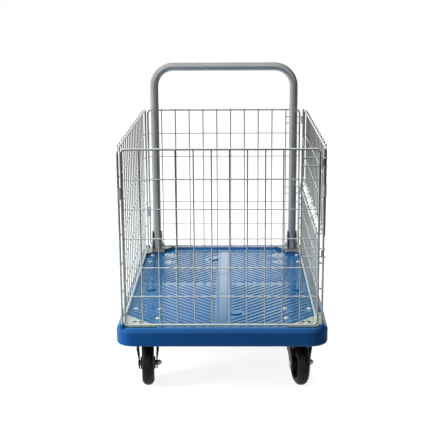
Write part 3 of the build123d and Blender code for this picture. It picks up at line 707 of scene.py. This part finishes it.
def room_level(tree):
    """What reflections see of the room: a white card and backdrop, a pale left side and dim others."""
    x, y, z = own_place(tree, "Generated")
    room = ramp(tree, x, ROOM_SIDE_FADE, ROOM_LEFT, ROOM_RIGHT)
    room = times(tree, room, ramp(tree, y, ROOM_FRONT_FADE, ROOM_FRONT, 1.0))
    room = times(tree, room, ramp(tree, y, ROOM_BACK_FADE, 1.0, ROOM_BACK))
    room = math_node(tree, "ADD", room, ramp(tree, z, ROOM_TOP_FADE, 0.0, ROOM_TOP))
    front = ramp(tree, y, FRONT_TOP_DEPTH, 1.0, 0.0)
    front = times(tree, front, ramp(tree, z, FRONT_TOP_FADE, 0.0, FRONT_TOP))
    room = math_node(tree, "ADD", room, front)
    backdrop = ramp(tree, y, BACKDROP_DEPTH, 0.0, 1.0)
    backdrop = times(tree, backdrop, ramp(tree, z, BACKDROP_FADE, 1.0, 0.0))
    room = choose(tree, backdrop, room, BACKDROP_LEVEL)
    aside = math_node(tree, "DIVIDE", x, math_node(tree, "MAXIMUM", y, LEAST_DEPTH))
    aside = math_node(tree, "ABSOLUTE", math_node(tree, "SUBTRACT", aside, CARD_MIDDLE))
    card = ramp(tree, aside, CARD_SIDE_FADE, 1.0, 0.0)
    card = times(tree, card, ramp(tree, z, CARD_TOP_FADE, 1.0, 0.0))
    return choose(tree, card, room, CARD_LEVEL)


def build_world():
    """White to the camera, a room to reflections, and an even dim light otherwise."""
    world = bpy.data.worlds.new("studio")
    bpy.context.scene.world = world
    world.use_nodes = True
    tree = world.node_tree
    rays = tree.nodes.new("ShaderNodeLightPath")
    strength = choose(tree, mirror_rays(tree, rays), AMBIENT, room_level(tree))
    strength = choose(tree, rays.outputs["Is Camera Ray"], strength, 1.0)
    background = tree.nodes["Background"]
    background.inputs["Color"].default_value = (1.0, 1.0, 1.0, 1.0)
    tree.links.new(strength, background.inputs["Strength"])


def floor_level(tree, x, y, away):
    """What reflections see of the floor: dark to the front and right, and pale far to the left."""
    level = ramp(tree, y, FLOOR_FADE, FLOOR_DARK, 1.0)
    level = times(tree, level, ramp(tree, x, FLOOR_RIGHT_FADE, 1.0, FLOOR_RIGHT))
    left = ramp(tree, math_node(tree, "DIVIDE", x, away), FLOOR_LEFT_FADE, FLOOR_LEFT, 0.0)
    left = times(tree, left, ramp(tree, away, FLOOR_LEFT_START, 0.0, 1.0))
    return math_node(tree, "MAXIMUM", level, left)


def floor_finish():
    """White paper to the camera, which keeps the cart's shadow, and a level of its own to reflections."""
    material = bpy.data.materials.new("studio_floor_finish")
    material.use_nodes = True
    tree = material.node_tree
    tree.nodes.clear()
    rays = tree.nodes.new("ShaderNodeLightPath")
    x, y, _ = own_place(tree, "Object")
    away = math_node(tree, "SQRT", math_node(tree, "ADD", times(tree, x, x), times(tree, y, y)))
    paper = tree.nodes.new("ShaderNodeBsdfDiffuse")
    paper.inputs["Color"].default_value = (FLOOR_GREY, FLOOR_GREY, FLOOR_GREY, 1.0)
    glow = tree.nodes.new("ShaderNodeEmission")
    white = ramp(tree, away, GLOW_FADE, FLOOR_GLOW, 1.0)
    tree.links.new(choose(tree, rays.outputs["Is Camera Ray"], 0.0, white), glow.inputs["Strength"])
    lit_paper = tree.nodes.new("ShaderNodeAddShader")
    tree.links.new(paper.outputs["BSDF"], lit_paper.inputs[0])
    tree.links.new(glow.outputs["Emission"], lit_paper.inputs[1])
    seen = tree.nodes.new("ShaderNodeEmission")
    tree.links.new(floor_level(tree, x, y, away), seen.inputs["Strength"])
    mix = tree.nodes.new("ShaderNodeMixShader")
    tree.links.new(mirror_rays(tree, rays), mix.inputs["Fac"])
    tree.links.new(lit_paper.outputs["Shader"], mix.inputs[1])
    tree.links.new(seen.outputs["Emission"], mix.inputs[2])
    output = tree.nodes.new("ShaderNodeOutputMaterial")
    tree.links.new(mix.outputs["Shader"], output.inputs["Surface"])
    return material


def build_floor():
    """A wide level sheet under the cart."""
    mesh = bpy.data.meshes.new("studio_floor")
    half = FLOOR_HALF
    corners = [(-half, -half, 0.0), (half, -half, 0.0), (half, half, 0.0), (-half, half, 0.0)]
    mesh.from_pydata(corners, [], [(0, 1, 2, 3)])
    mesh.materials.append(floor_finish())
    floor = bpy.data.objects.new("studio_floor", mesh)
    bpy.context.scene.collection.objects.link(floor)


def add_softbox(name, place, target, width, height, power):
    """A soft lamp that faces a point of the part and shows neither to the camera nor in reflections."""
    lamp = bpy.data.lights.new(name, "AREA")
    lamp.shape = "RECTANGLE"
    lamp.size = width
    lamp.size_y = height
    lamp.energy = power
    holder = bpy.data.objects.new(name, lamp)
    bpy.context.scene.collection.objects.link(holder)
    holder.location = place
    holder.rotation_euler = (Vector(target) - Vector(place)).to_track_quat("-Z", "Y").to_euler()
    holder.visible_camera = False
    holder.visible_glossy = False


def build_camera():
    """The camera that took the photograph, as its fit to the part gives it."""
    lens = bpy.data.cameras.new("camera")
    lens.sensor_fit = "HORIZONTAL"
    lens.sensor_width = SENSOR
    lens.lens = FOCAL_PIXELS * SENSOR / IMAGE_SIZE
    lens.shift_y = SHIFT_PIXELS / IMAGE_SIZE
    lens.clip_end = CAMERA_REACH
    camera = bpy.data.objects.new("camera", lens)
    bpy.context.scene.collection.objects.link(camera)
    turn = Matrix.Rotation(math.radians(CAMERA_YAW), 4, "Z")
    tilt = Matrix.Rotation(math.radians(90.0 - CAMERA_PITCH), 4, "X")
    roll = Matrix.Rotation(math.radians(CAMERA_ROLL), 4, "Z")
    camera.matrix_world = Matrix.Translation(CAMERA_PLACE) @ turn @ tilt @ roll
    bpy.context.scene.camera = camera


bpy.context.scene.view_settings.view_transform = "Standard"
build_world()
build_floor()
add_softbox("top_softbox", **TOP_LAMP)
add_softbox("left_softbox", **LEFT_LAMP)
build_camera()
